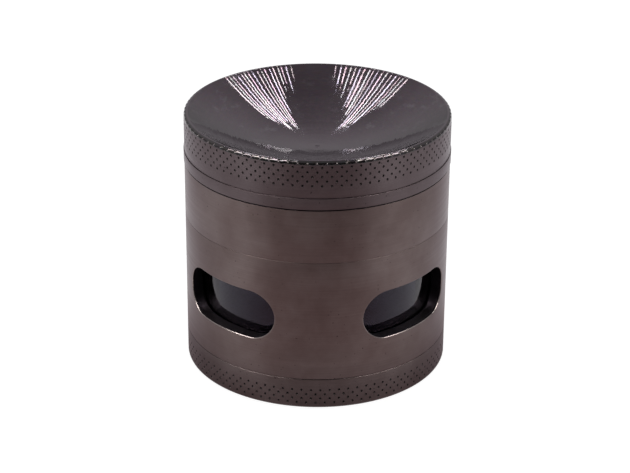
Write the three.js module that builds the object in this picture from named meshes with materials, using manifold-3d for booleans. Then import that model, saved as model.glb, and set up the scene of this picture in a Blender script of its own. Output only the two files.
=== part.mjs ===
// Four-stage metal herb and spice grinder, 63 mm across, in millimetres, +Z up.
// The origin is the centre of the flat foot. From the table up: catcher base, windowed drum, grinding
// chamber, and a lid made of a concave cap pressed onto a toothed plate. Each stage screws into the one
// below it on a right-hand thread; the lid only drops in, held by two magnets.
import * as THREE from "three";
import { mergeVertices } from "three/addons/utils/BufferGeometryUtils.js";
import Module from "manifold-3d";

const wasm = await Module();
wasm.setup();

// ---- Driving dimensions -------------------------------------------------------------------------
const OUTER_R = 31.5; // outside of every stage
const BASE_TOP = 7.5; // seam heights above the table
const DRUM_TOP = 37.5;
const CHAMBER_TOP = 50.5;
const FLANGE_TOP = 53.5;
const TOTAL_H = 62.5;
const SEAM = 0.05; // half of the gap left at each seam
const EDGE = 0.2; // small chamfer on machined edges
const FIT = 0.1; // clearance round pieces that drop into a bore

const FACETS = 40; // facets round each turned piece, a multiple of 4

// Threads. Male and female ridges share one helix, half a pitch apart.
const PITCH = 1.5;
const THREAD_TURNS = 1.6;
const THREAD_START = 0.6; // height of the ridge's first turn above the spigot's end
const THREAD_ROOT_R = 28.3; // male root
const THREAD_CREST_R = 29.0; // male crest
const THREAD_GAP = 0.2; // radial room between crest and root
const RIDGE_BASE = 1.0; // ridge width at its root
const RIDGE_TIP = 0.3; // ridge width at its crest
const SPIGOT_H = 3.6; // male spigot below a shoulder
const SPIGOT_BORE_R = 26.6;
const SOCKET_DEPTH = SPIGOT_H + 0.2; // female socket below a rim
const SOCKET_R = THREAD_CREST_R + THREAD_GAP;

// Windows
const WINDOW_COUNT = 4;
const WINDOW_W = 27.4;
const WINDOW_H = 12;
const WINDOW_Z = 22.4;

// Catcher base
const FOOT_CHAMFER = 0.6;
const BOWL_FLOOR_Z = 1.4;
const BOWL_FILLET = 2.3;
const BOWL_R = 27.8;

// Drum and its lining
const DRUM_BORE_R = 28.4;
const SHELF_R = 24.6; // shelf that carries the lining above it and the screen below it
const SHELF_LOW_Z = 7.9;
const SHELF_TOP_Z = 9.4;
const SLEEVE_OUTER_R = 28.25;
const SLEEVE_WALL = 1.5;
const GASKET_H = 0.8;
const SCREEN_T = 0.4;
const SCREEN_RING_T = 1.0;
const SCREEN_RING_W = 1.5;

// Grinding chamber
const CHAMBER_BORE_R = 29.0;
const FLOOR_T = 2.0;
const FLOOR_TOP_Z = DRUM_TOP + FLOOR_T;
const HOLE_R = 1.8;

// Centre posts and magnets
const POST_R = 5.2;
const CHAMBER_POST_TOP = 43.1;
const LID_POST_BOTTOM = 43.7;
const MAGNET_R = 4.0;
const MAGNET_T = 2.0;

// Teeth: rhombic pegs in rings. The lid's rings run between the chamber's.
const TOOTH_DEPTH = 3.2; // radial
const TOOTH_WIDTH = 4.4; // tangential
const TOOTH_TIP_GAP = 0.5;

// Lid
const PLATE_BOTTOM_Z = 47.0;
const NECK_R = 28.3;
const GROOVE_R = 27.4;
const GROOVE_BOTTOM_Z = 48.3;
const FLANGE_R = OUTER_R + 0.15;
const SHOULDER_R = 29.1; // shoulder that centres the cap
const SHOULDER_H = 1.5;
const SHOULDER_W = 1.5;
const SKIRT_R = 29.3;
const RIM_R = OUTER_R + 0.1;
const RIM_CHAMFER = 0.8;
const DISH_R = 30.4;
const DISH_DEPTH = 9.5;
const DISH_T = 1.2;
const DISH_INNER_R = 27.5; // where the underside of the dish leaves its curve for the skirt

// ---- Helpers ------------------------------------------------------------------------------------
// A closed three.js geometry as a solid.
function solid(geometry) {
  const bare = geometry.clone();
  bare.deleteAttribute("normal");
  bare.deleteAttribute("uv");
  const merged = mergeVertices(bare, 1e-4);
  const kept = [];
  for (let i = 0; i < merged.index.count; i += 3) {
    const [a, b, c] = merged.index.array.slice(i, i + 3);
    if (a !== b && b !== c && c !== a) kept.push(a, b, c);
  }
  return new wasm.Manifold(
    new wasm.Mesh({
      numProp: 3,
      vertProperties: merged.getAttribute("position").array,
      triVerts: new Uint32Array(kept),
    }),
  );
}

// A solid turned about Z from a closed outline of [radius, height] points, listed anticlockwise.
function turned(outline, facets = FACETS) {
  const points = outline.map(([r, z]) => new THREE.Vector2(r, z));
  if (outline[0][0] > 0 || outline.at(-1)[0] > 0) points.push(points[0].clone());
  return solid(new THREE.LatheGeometry(points, facets).rotateX(Math.PI / 2));
}

// Points of an arc in the [radius, height] plane, both ends included.
function arc(r, z, radius, fromDeg, toDeg, steps) {
  return Array.from({ length: steps + 1 }, (_, i) => {
    const a = THREE.MathUtils.degToRad(fromDeg + ((toDeg - fromDeg) * i) / steps);
    return [r + radius * Math.cos(a), z + radius * Math.sin(a)];
  });
}

// A flat outline extruded up Z by height.
function prism(shape, height, curveSegments = 8) {
  return new THREE.ExtrudeGeometry(shape, { depth: height, bevelEnabled: false, curveSegments });
}

function sum(solids) {
  return solids.reduce((whole, piece) => whole.add(piece));
}

function mesh(name, body, material) {
  const cut = body.getMesh();
  const geometry = new THREE.BufferGeometry()
    .setAttribute("position", new THREE.BufferAttribute(cut.vertProperties, 3))
    .setIndex(new THREE.BufferAttribute(cut.triVerts, 1));
  geometry.computeVertexNormals();
  const made = new THREE.Mesh(geometry, material);
  made.name = name;
  return made;
}

// ---- Threads ------------------------------------------------------------------------------------
class Helix extends THREE.Curve {
  constructor(radius, pitch, turns) {
    super();
    Object.assign(this, { radius, pitch, turns });
  }
  getPoint(t, target = new THREE.Vector3()) {
    const angle = 2 * Math.PI * this.turns * t;
    const { radius, pitch, turns } = this;
    return target.set(radius * Math.cos(angle), radius * Math.sin(angle), pitch * turns * t);
  }
}

// One helical ridge that starts at height z. The section's x runs towards the axis and its y up.
function ridge(rootR, crestR, z, startDeg) {
  const towards = Math.sign(rootR - crestR);
  const buried = -towards * 0.3;
  const section = new THREE.Shape([
    new THREE.Vector2(buried, -RIDGE_BASE / 2),
    new THREE.Vector2(rootR - crestR, -RIDGE_TIP / 2),
    new THREE.Vector2(rootR - crestR, RIDGE_TIP / 2),
    new THREE.Vector2(buried, RIDGE_BASE / 2),
  ]);
  const path = new Helix(rootR, PITCH, THREAD_TURNS);
  const steps = Math.round(THREAD_TURNS * FACETS);
  const swept = new THREE.ExtrudeGeometry(section, { extrudePath: path, steps, bevelEnabled: false });
  return solid(swept.rotateZ(THREE.MathUtils.degToRad(startDeg)).translate(0, 0, z));
}

const ridgeStart = (shoulderZ) => shoulderZ - SPIGOT_H + THREAD_START;
const maleThread = (shoulderZ) => ridge(THREAD_ROOT_R, THREAD_CREST_R, ridgeStart(shoulderZ), 0);
const femaleThread = (rimZ) =>
  ridge(SOCKET_R, SOCKET_R - (THREAD_CREST_R - THREAD_ROOT_R), ridgeStart(rimZ), 180);

// ---- Teeth --------------------------------------------------------------------------------------
const chamberToothRings = [
  { radius: 13.1, count: 6, phase: 0 },
  { radius: 21.3, count: 12, phase: 15 },
];
const lidToothRings = [
  { radius: 9.0, count: 4, phase: 45 },
  { radius: 17.2, count: 8, phase: 22.5 },
  { radius: 25.4, count: 12, phase: 0 },
];
const holeRings = [
  { radius: 8.9, count: 6, phase: 30 },
  { radius: 17.2, count: 12, phase: 0 },
  { radius: 24.4, count: 12, phase: 15 },
];

// Copies of one extruded outline, spread over rings and turned to face outwards.
function spread(shape, rings, z, height) {
  return rings.flatMap(({ radius, count, phase }) =>
    Array.from({ length: count }, (_, i) => {
      const angle = THREE.MathUtils.degToRad(phase + (360 * i) / count);
      return solid(prism(shape, height, 4).translate(radius, 0, z).rotateZ(angle));
    }),
  );
}

const toothShape = new THREE.Shape([
  new THREE.Vector2(TOOTH_DEPTH / 2, 0),
  new THREE.Vector2(0, TOOTH_WIDTH / 2),
  new THREE.Vector2(-TOOTH_DEPTH / 2, 0),
  new THREE.Vector2(0, -TOOTH_WIDTH / 2),
]);
const holeShape = new THREE.Shape().absarc(0, 0, HOLE_R, 0, 2 * Math.PI);
const TOOTH_ROOTED = 0.5; // how far a tooth runs into the floor or plate that carries it

// ---- Materials ----------------------------------------------------------------------------------
const gunmetal = new THREE.MeshStandardMaterial({ color: 0x5b5052, roughness: 0.38, metalness: 1 });
const darkGunmetal = new THREE.MeshStandardMaterial({ color: 0x4a4345, roughness: 0.3, metalness: 1 });
const clearAcrylic = new THREE.MeshStandardMaterial({
  color: 0xdfe4e8,
  roughness: 0.08,
  metalness: 0,
  transparent: true,
  opacity: 0.3,
});
const silicone = new THREE.MeshStandardMaterial({ color: 0x1c1c1e, roughness: 0.7, metalness: 0 });
const nylon = new THREE.MeshStandardMaterial({ color: 0xe9e6dd, roughness: 0.5, metalness: 0 });
const steel = new THREE.MeshStandardMaterial({ color: 0xb8babd, roughness: 0.3, metalness: 1 });
const nickel = new THREE.MeshStandardMaterial({ color: 0xd2d0cb, roughness: 0.15, metalness: 1 });
const scraperPlastic = new THREE.MeshStandardMaterial({ color: 0x2a2c30, roughness: 0.45, metalness: 0 });

// ---- Catcher base -------------------------------------------------------------------------------
function catcherBase() {
  const top = BASE_TOP - SEAM;
  const ledge = BASE_TOP - SOCKET_DEPTH;
  const body = turned([
    [0, 0],
    [OUTER_R - FOOT_CHAMFER, 0],
    [OUTER_R, FOOT_CHAMFER],
    [OUTER_R, top - EDGE],
    [OUTER_R - EDGE, top],
    [SOCKET_R + EDGE, top],
    [SOCKET_R, top - EDGE],
    [SOCKET_R, ledge],
    ...arc(BOWL_R - BOWL_FILLET, BOWL_FLOOR_Z + BOWL_FILLET, BOWL_FILLET, 0, -90, 4),
    [0, BOWL_FLOOR_Z],
  ]);
  return body.add(femaleThread(BASE_TOP));
}

// A thin rounded triangle, the size of a plectrum, that lies loose in the bowl.
function pollenScraper() {
  const side = 21;
  const cornerR = 3.5;
  const thickness = 0.6;
  const corners = [90, 210, 330].map((deg) => THREE.MathUtils.degToRad(deg));
  const outline = new THREE.Shape();
  for (const a of corners) {
    const reach = side / Math.sqrt(3) - 2 * cornerR + cornerR;
    const [x, y] = [reach * Math.cos(a), reach * Math.sin(a)];
    outline.absarc(x, y, cornerR, a - Math.PI / 3, a + Math.PI / 3);
  }
  outline.closePath();
  return solid(prism(outline, thickness, 3).translate(0, 0, BOWL_FLOOR_Z + SEAM));
}

// ---- Windowed drum ------------------------------------------------------------------------------
// A slot with round ends, cut straight through one side of the wall along X.
function windowCutter() {
  const straight = (WINDOW_W - WINDOW_H) / 2;
  const outline = new THREE.Shape();
  outline.absarc(straight, 0, WINDOW_H / 2, -Math.PI / 2, Math.PI / 2);
  outline.absarc(-straight, 0, WINDOW_H / 2, Math.PI / 2, (3 * Math.PI) / 2);
  outline.closePath();
  const innerReach = 15;
  const length = OUTER_R + 5 - innerReach;
  const cutter = prism(outline, length, 5).rotateX(Math.PI / 2).rotateZ(Math.PI / 2);
  return cutter.translate(innerReach, 0, WINDOW_Z);
}

function windowDrum() {
  const low = BASE_TOP + SEAM;
  const top = DRUM_TOP - SEAM;
  const spigotLow = BASE_TOP - SPIGOT_H;
  const shell = turned([
    [SPIGOT_BORE_R, spigotLow],
    [THREAD_ROOT_R - EDGE, spigotLow],
    [THREAD_ROOT_R, spigotLow + EDGE],
    [THREAD_ROOT_R, low],
    [OUTER_R - EDGE, low],
    [OUTER_R, low + EDGE],
    [OUTER_R, top - EDGE],
    [OUTER_R - EDGE, top],
    [SOCKET_R + EDGE, top],
    [SOCKET_R, top - EDGE],
    [SOCKET_R, DRUM_TOP - SOCKET_DEPTH],
    [DRUM_BORE_R, DRUM_TOP - SOCKET_DEPTH],
    [DRUM_BORE_R, SHELF_TOP_Z],
    [SHELF_R, SHELF_TOP_Z],
    [SHELF_R, SHELF_LOW_Z],
    [SPIGOT_BORE_R, SHELF_LOW_Z],
  ]);
  const windows = Array.from({ length: WINDOW_COUNT }, (_, i) =>
    solid(windowCutter().rotateZ((2 * Math.PI * i) / WINDOW_COUNT)),
  );
  return shell.subtract(sum(windows)).add(maleThread(BASE_TOP)).add(femaleThread(DRUM_TOP));
}

// A plain ring of rectangular section.
function ring(innerR, outerR, low, high) {
  return turned([
    [innerR, low],
    [outerR, low],
    [outerR, high],
    [innerR, high],
  ]);
}

const sleeveLow = SHELF_TOP_Z + SEAM + GASKET_H + SEAM;
const sleeveHigh = DRUM_TOP - SPIGOT_H - GASKET_H - 2 * SEAM;

function sleeveGasket(low) {
  return ring(SLEEVE_OUTER_R - SLEEVE_WALL, SLEEVE_OUTER_R, low, low + GASKET_H);
}

function clearSleeve() {
  return ring(SLEEVE_OUTER_R - SLEEVE_WALL, SLEEVE_OUTER_R, sleeveLow, sleeveHigh);
}

function screenMesh() {
  const high = SHELF_LOW_Z - SEAM;
  return turned([
    [0, high - SCREEN_T],
    [SPIGOT_BORE_R - FIT, high - SCREEN_T],
    [SPIGOT_BORE_R - FIT, high],
    [0, high],
  ]);
}

// A split ring that springs into the spigot's bore under the screen.
function screenRing() {
  const high = SHELF_LOW_Z - SEAM - SCREEN_T - SEAM;
  const outer = SPIGOT_BORE_R - FIT;
  const hoop = ring(outer - SCREEN_RING_W, outer, high - SCREEN_RING_T, high);
  const gap = new THREE.BoxGeometry(6, 4, 4).translate(outer, 0, high);
  return hoop.subtract(solid(gap));
}

// ---- Grinding chamber ---------------------------------------------------------------------------
function grindingChamber() {
  const low = DRUM_TOP + SEAM;
  const top = CHAMBER_TOP - SEAM;
  const spigotLow = DRUM_TOP - SPIGOT_H;
  const pocketR = MAGNET_R + FIT;
  const fillet = 1;
  const cup = turned([
    [0, DRUM_TOP],
    [SPIGOT_BORE_R, DRUM_TOP],
    [SPIGOT_BORE_R, spigotLow],
    [THREAD_ROOT_R - EDGE, spigotLow],
    [THREAD_ROOT_R, spigotLow + EDGE],
    [THREAD_ROOT_R, low],
    [OUTER_R - EDGE, low],
    [OUTER_R, low + EDGE],
    [OUTER_R, top - EDGE],
    [OUTER_R - EDGE, top],
    [CHAMBER_BORE_R + EDGE, top],
    [CHAMBER_BORE_R, top - EDGE],
    ...arc(CHAMBER_BORE_R - fillet, FLOOR_TOP_Z + fillet, fillet, 0, -90, 3),
    [POST_R, FLOOR_TOP_Z],
    [POST_R, CHAMBER_POST_TOP],
    [pocketR, CHAMBER_POST_TOP],
    [pocketR, CHAMBER_POST_TOP - MAGNET_T],
    [0, CHAMBER_POST_TOP - MAGNET_T],
  ]);
  const toothHeight = PLATE_BOTTOM_Z - TOOTH_TIP_GAP - FLOOR_TOP_Z;
  const rootZ = FLOOR_TOP_Z - TOOTH_ROOTED;
  const teeth = spread(toothShape, chamberToothRings, rootZ, toothHeight + TOOTH_ROOTED);
  const holes = spread(holeShape, holeRings, DRUM_TOP - 1, FLOOR_T + 2);
  return cup.subtract(sum(holes)).add(sum(teeth)).add(maleThread(DRUM_TOP));
}

// A disc magnet whose lower face is at z.
function magnet(z) {
  return turned([
    [0, z],
    [MAGNET_R - EDGE, z],
    [MAGNET_R, z + EDGE],
    [MAGNET_R, z + MAGNET_T - EDGE],
    [MAGNET_R - EDGE, z + MAGNET_T],
    [0, z + MAGNET_T],
  ], 32);
}

// ---- Lid ----------------------------------------------------------------------------------------
// Height of the cap's dished face at a radius.
const dishZ = (r) => TOTAL_H - DISH_DEPTH * (1 - (r / DISH_R) ** 2);

// Points of the dish, or of a surface below it, between two radii.
function dishCurve(fromR, toR, below, steps) {
  return Array.from({ length: steps + 1 }, (_, i) => {
    const r = fromR + ((toR - fromR) * i) / steps;
    return [r, dishZ(r) - below];
  });
}

function concaveCap() {
  const low = FLANGE_TOP + SEAM;
  const skirtTop = dishZ(DISH_INNER_R) - DISH_T - 1;
  return turned([
    ...dishCurve(0, DISH_INNER_R, DISH_T, 5),
    [SKIRT_R, skirtTop],
    [SKIRT_R, low + EDGE],
    [SKIRT_R + EDGE, low],
    [OUTER_R - EDGE, low],
    [OUTER_R, low + EDGE],
    [OUTER_R, TOTAL_H - RIM_CHAMFER - 2 * EDGE],
    [RIM_R, TOTAL_H - RIM_CHAMFER],
    [RIM_R - RIM_CHAMFER / 2, TOTAL_H - EDGE],
    [DISH_R + EDGE, TOTAL_H],
    ...dishCurve(DISH_R, 0, 0, 8),
  ]);
}

function toothPlate() {
  const low = CHAMBER_TOP + SEAM;
  const top = FLANGE_TOP - SEAM;
  const pocketR = MAGNET_R + FIT;
  const pocketTop = LID_POST_BOTTOM + MAGNET_T + FIT;
  const underCap = DISH_T + 0.3; // how far the recess stays below the dished face
  const recessR = DISH_R * Math.sqrt(1 - (TOTAL_H - underCap - top) / DISH_DEPTH);
  const plate = turned([
    [0, pocketTop],
    [pocketR, pocketTop],
    [pocketR, LID_POST_BOTTOM],
    [POST_R, LID_POST_BOTTOM],
    [POST_R, PLATE_BOTTOM_Z],
    [NECK_R - EDGE, PLATE_BOTTOM_Z],
    [NECK_R, PLATE_BOTTOM_Z + EDGE],
    [NECK_R, GROOVE_BOTTOM_Z],
    [GROOVE_R, GROOVE_BOTTOM_Z],
    [GROOVE_R, low],
    [FLANGE_R - EDGE, low],
    [FLANGE_R, low + EDGE],
    [FLANGE_R, top - EDGE],
    [FLANGE_R - EDGE, top],
    [SHOULDER_R, top],
    [SHOULDER_R, top + SHOULDER_H],
    [SHOULDER_R - SHOULDER_W, top + SHOULDER_H],
    [SHOULDER_R - SHOULDER_W, top],
    ...dishCurve(recessR, 0, underCap, 4),
  ]);
  const toothHeight = PLATE_BOTTOM_Z - TOOTH_TIP_GAP - FLOOR_TOP_Z;
  const tipZ = FLOOR_TOP_Z + TOOTH_TIP_GAP;
  return plate.add(sum(spread(toothShape, lidToothRings, tipZ, toothHeight + TOOTH_ROOTED)));
}

function glideRing() {
  const low = GROOVE_BOTTOM_Z + FIT;
  const high = CHAMBER_TOP - FIT;
  return ring(GROOVE_R + FIT, CHAMBER_BORE_R - 0.15, low, high);
}

// ---- Assembly -----------------------------------------------------------------------------------
const base = new THREE.Group();
base.add(
  mesh("catcher_base", catcherBase(), gunmetal),
  mesh("pollen_scraper", pollenScraper(), scraperPlastic),
);

const drum = new THREE.Group();
drum.add(
  mesh("window_drum", windowDrum(), gunmetal),
  mesh("sleeve_lower_gasket", sleeveGasket(SHELF_TOP_Z + SEAM), silicone),
  mesh("clear_sleeve", clearSleeve(), clearAcrylic),
  mesh("screen_mesh", screenMesh(), steel),
  mesh("screen_retaining_ring", screenRing(), steel),
);

const chamber = new THREE.Group();
chamber.add(
  mesh("sleeve_upper_gasket", sleeveGasket(sleeveHigh + SEAM), silicone),
  mesh("grinding_chamber", grindingChamber(), gunmetal),
  mesh("chamber_magnet", magnet(CHAMBER_POST_TOP - MAGNET_T), nickel),
);

const lid = new THREE.Group();
lid.add(
  mesh("lid_glide_ring", glideRing(), nylon),
  mesh("tooth_plate", toothPlate(), darkGunmetal),
  mesh("lid_magnet", magnet(LID_POST_BOTTOM + FIT), nickel),
  mesh("concave_cap", concaveCap(), darkGunmetal),
);

const grinder = new THREE.Group();
grinder.add(base, drum, chamber, lid);
export default grinder;
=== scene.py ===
"""Looks of a four-stage metal herb grinder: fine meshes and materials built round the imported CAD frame.

Every piece is made in millimetres in the row frame, +Z up along the common axis, and scaled to metres when
its mesh is written. Heights and radii come from the frame's nodes; the constants below are the sizes that
they don't give.
"""

import math
import random

import bmesh
import bpy
import numpy as np
from mathutils import Matrix, Vector


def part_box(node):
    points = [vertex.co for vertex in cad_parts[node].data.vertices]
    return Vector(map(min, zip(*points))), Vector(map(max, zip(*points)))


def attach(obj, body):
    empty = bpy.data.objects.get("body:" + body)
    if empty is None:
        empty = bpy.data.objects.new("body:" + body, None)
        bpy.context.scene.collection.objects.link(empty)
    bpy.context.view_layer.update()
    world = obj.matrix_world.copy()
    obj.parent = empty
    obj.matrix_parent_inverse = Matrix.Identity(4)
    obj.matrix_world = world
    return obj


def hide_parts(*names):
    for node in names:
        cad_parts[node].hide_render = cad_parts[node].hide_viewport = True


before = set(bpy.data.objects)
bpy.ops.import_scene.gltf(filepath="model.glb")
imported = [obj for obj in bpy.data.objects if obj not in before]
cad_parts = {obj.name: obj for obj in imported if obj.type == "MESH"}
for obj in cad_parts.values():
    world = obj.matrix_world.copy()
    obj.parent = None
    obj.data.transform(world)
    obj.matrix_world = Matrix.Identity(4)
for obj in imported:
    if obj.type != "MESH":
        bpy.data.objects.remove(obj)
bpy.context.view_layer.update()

MM = 0.001


# ---- Sizes, in millimetres ----------------------------------------------------------------------
def extent(node):
    """(largest radius, lowest z, highest z) of a CAD node."""
    low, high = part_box(node)
    return (high.x - low.x) / 2 / MM, low.z / MM, high.z / MM


BODY_R, _, BASE_TOP = extent("catcher_base")
_, DRUM_LOW, DRUM_TOP = extent("window_drum")
_, CHAMBER_LOW, CHAMBER_TOP = extent("grinding_chamber")
FLANGE_R, TEETH_LOW, SHOULDER_TOP = extent("tooth_plate")
_, _, CAP_TOP = extent("concave_cap")
SLEEVE_R, SLEEVE_LOW, SLEEVE_TOP = extent("clear_sleeve")
SCREEN_R, SCREEN_LOW, SCREEN_TOP = extent("screen_mesh")
GLIDE_R, GLIDE_LOW, GLIDE_TOP = extent("lid_glide_ring")
MAGNET_R, MAGNET_LOW, MAGNET_TOP = extent("chamber_magnet")
LID_MAGNET_LOW = extent("lid_magnet")[1]

SEAM = 0.1  # gap between neighbouring stages
HAIRLINE = 0.05  # gap shown between the two stages that close tightest
LID_GAP = 0.34  # between the lid and the chamber, where the glide ring holds them apart
SHOULDER_H = 1.5  # of the plate's shoulder inside the cap
CAP_LOW = SHOULDER_TOP - SHOULDER_H + SEAM
THREAD_PITCH = 1.5
THREAD_TURNS = 1.6
THREAD_START = 0.6  # height of the ridge's first turn above the spigot's end
THREAD_ROOT_R = 28.3  # male root
THREAD_DEPTH = 0.7
RIDGE_BASE = 1.0
RIDGE_TIP = 0.3
SOCKET_R = 29.2
SOCKET_DEPTH = 3.8
SPIGOT_BORE_R = 26.6

WINDOW_STRAIGHT = 7.7  # half of a window's straight edge
WINDOW_END_R = 6.0
WINDOW_Z = 22.4
WINDOW_BEVEL = 0.28
WINDOW_REACH = 9  # how far up or down from its middle a window's faces can be
BEVEL_IN = 0.3  # how far in from the wall the bevel's faces can be

BOWL_R = 27.8
BOWL_FLOOR = 1.4
DRUM_BORE_R = 28.4
SHELF_R = 24.6
SHELF_LOW = 7.9
SHELF_TOP = 9.4

CHAMBER_BORE_R = 29.0
FLOOR_LOW = 37.5
FLOOR_TOP = 39.5
HOLE_R = 1.8
POST_R = 5.2

PLATE_LOW = 47.0
NECK_R = 28.3
GROOVE_R = 27.4
SHOULDER_R = 29.1
SHOULDER_W = 1.5
SKIRT_R = 29.3
DISH_R = 30.5
DISH_DEPTH = 9.5
DISH_T = 1.2
RIM_ROUND = 0.8

TOOTH_DEPTH = 3.2
TOOTH_WIDTH = 4.4
TOOTH_EDGE = 0.25
TIP_GAP = 0.5  # between a tooth's tip and the face it points at
ROOTED = 0.5  # how deep a tooth starts in its own face
# Rings of teeth and holes: radius, count and first angle in degrees.
CHAMBER_TEETH = [(13.1, 6, 0), (21.3, 12, 15)]
LID_TEETH = [(9.0, 4, 45), (17.2, 8, 22.5), (25.4, 12, 0)]
HOLES = [(8.9, 6, 30), (17.2, 12, 0), (24.4, 12, 15)]

KNURL_DOTS = 90  # dots in one row
FINE = 4 * KNURL_DOTS  # segments round a knurled piece
SMOOTH = 240  # segments round a plain piece
SMALL = 96  # segments round a small or hidden piece

KNURL_PITCH = 1.11  # between rows
PIT_R = 0.28
PIT_STRETCH = 1.2  # how much taller than wide
PIT_DEPTH = 0.3
BASE_ROW = 1.35  # height of the base's lowest row
LID_ROW = 56.6  # and of the lid's
MESH_PITCH = 0.9  # of the woven screen
SCRAPER_SIDE = 21
SCRAPER_CORNER = 3.5
RING_W = 1.5  # of the sleeve's wall, the gaskets and the spring ring
RING_GAP = 4  # width of the gap in the spring ring

# ---- The view the photograph was taken from -----------------------------------------------------
CAMERA_TURN = math.radians(43.8)  # from the -Y side towards +X
CAMERA_RISE = math.radians(25.25)
CAMERA_DISTANCE = 0.4899
CAMERA_ROLL = math.radians(0.43)
CAMERA_LENS = 115.77
AIM_HEIGHT = 0.02944
AIM_SIDE = -0.0004
FRONT = Vector((math.sin(CAMERA_TURN), -math.cos(CAMERA_TURN), 0))
RIGHT = Vector((math.cos(CAMERA_TURN), math.sin(CAMERA_TURN), 0))
UP = Vector((0, 0, 1))
FRONT_ANGLE = math.atan2(FRONT.y, FRONT.x)


# ---- Outlines -----------------------------------------------------------------------------------
def rounded(corners, steps=3, closed=False):
    """The [r, z] points through (r, z, fillet) corners, with each corner that has a fillet made an arc."""
    out = []
    count = len(corners)
    for i, (r, z, *fillet) in enumerate(corners):
        inside = closed or 0 < i < count - 1
        if not fillet or not inside:
            out.append((r, z))
            continue
        here = Vector((r, z))
        back = Vector(corners[i - 1][:2]) - here
        ahead = Vector(corners[(i + 1) % count][:2]) - here
        half = back.angle(ahead) / 2
        reach = min(fillet[0] / math.tan(half), 0.49 * back.length, 0.49 * ahead.length)
        towards = (back.normalized() + ahead.normalized()).normalized()
        centre = here + towards * reach / math.cos(half)
        first = here + back.normalized() * reach - centre
        last = here + ahead.normalized() * reach - centre
        sweep = first.angle_signed(last)
        for k in range(steps + 1):
            out.append(tuple(centre + Matrix.Rotation(-sweep * k / steps, 2) @ first))
    if closed:
        out.append(out[0])
    return out


def dish_height(r):
    """Height of the cap's dished face: a shallow bowl with a small tip where the tool stopped."""
    bowl = CAP_TOP - DISH_DEPTH * (1 - (r / DISH_R) ** 2)
    return bowl + 0.12 * math.exp(-((r / 0.5) ** 2))


def dish_points(from_r, to_r, below, steps):
    """Points of the dished face, or of a surface at a depth below it, from one radius to another."""
    radii = [from_r + (to_r - from_r) * i / steps for i in range(steps + 1)]
    return [(r, dish_height(r) - below) for r in radii]


def ring_section(inner, outer, low, high, fillet):
    """Closed outline of a rectangular ring with eased corners."""
    return rounded([(inner, low, fillet), (outer, low, fillet), (outer, high, fillet), (inner, high, fillet)],
                   3, closed=True)


# ---- Meshes -------------------------------------------------------------------------------------
def around(r, angle, z):
    """The point at a radius, an angle round the axis and a height."""
    return (r * math.cos(angle), r * math.sin(angle), z)


def ring(r, z, count, phase=0.0):
    """A level circle of points. r is one radius, or one for each point."""
    a = phase + np.arange(count) * (2 * math.pi / count)
    return np.stack([r * np.cos(a), r * np.sin(a), np.full(count, z)], axis=1)


class Shell:
    """Points and faces of one piece, added patch by patch and welded into a closed skin at the end."""

    def __init__(self):
        self.points = []
        self.faces = []
        self.marks = []
        self.count = 0

    def add(self, points, faces, mark=0):
        points = np.asarray(points, float).reshape(-1, 3)
        self.points.append(points)
        self.faces.extend([[self.count + i for i in face] for face in faces])
        self.marks.extend([mark] * len(faces))
        self.count += len(points)

    def skin(self, loops, wrap=True, mark=0):
        """Quads between neighbouring loops, which all have the same number of points."""
        loops = [np.asarray(loop, float) for loop in loops]
        n = len(loops[0])
        faces = []
        for j in range(len(loops) - 1):
            for i in range(n if wrap else n - 1):
                k = (i + 1) % n
                faces.append((j * n + i, j * n + k, (j + 1) * n + k, (j + 1) * n + i))
        self.add(np.concatenate(loops), faces, mark)

    def turn(self, outline, count, phase=0.0, mark=0):
        """An outline turned round the axis."""
        self.skin([ring(r, z, count, phase) for r, z in outline], mark=mark)

    def rod(self, loops):
        """A skin through loops, closed by a face at each end."""
        self.skin(loops)
        for loop in (loops[0], loops[-1]):
            self.add(loop, [tuple(range(len(loop)))])

    def mesh(self, name):
        """The welded mesh in metres, its faces pointing out."""
        made = bpy.data.meshes.new(name)
        made.from_pydata((np.concatenate(self.points) * MM).tolist(), [], self.faces)
        made.polygons.foreach_set("material_index", self.marks)
        work = bmesh.new()
        work.from_mesh(made)
        bmesh.ops.remove_doubles(work, verts=work.verts, dist=2e-7)
        bmesh.ops.dissolve_degenerate(work, edges=work.edges, dist=1e-8)
        bmesh.ops.recalc_face_normals(work, faces=work.faces)
        work.to_mesh(made)
        work.free()
        finish_shading(made)
        return made


def finish_shading(mesh):
    """Smooth shading, broken at the edges that bend by more than 40 degrees."""
    mesh.shade_smooth()
    mesh.set_sharp_from_angle(angle=math.radians(40))


def place(mesh, name, body, node, slot, materials):
    """Shows a mesh in place of a CAD node, moving with its body."""
    for material in materials:
        mesh.materials.append(material)
    piece = bpy.data.objects.new(name, mesh)
    bpy.context.scene.collection.objects.link(piece)
    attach(piece, body)
    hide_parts(node)
    return piece


def combine(mesh, tool, operation):
    """The mesh cut by or joined to a tool mesh."""
    body = bpy.data.objects.new("work", mesh)
    cutter = bpy.data.objects.new("tool", tool)
    for item in (body, cutter):
        bpy.context.scene.collection.objects.link(item)
    modifier = body.modifiers.new("combine", "BOOLEAN")
    modifier.operation = operation
    modifier.solver = "EXACT"
    modifier.object = cutter
    bpy.context.view_layer.update()
    result = bpy.data.meshes.new_from_object(body.evaluated_get(bpy.context.evaluated_depsgraph_get()))
    bpy.data.objects.remove(body)
    bpy.data.objects.remove(cutter)
    result.materials.clear()
    finish_shading(result)
    return result


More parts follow.
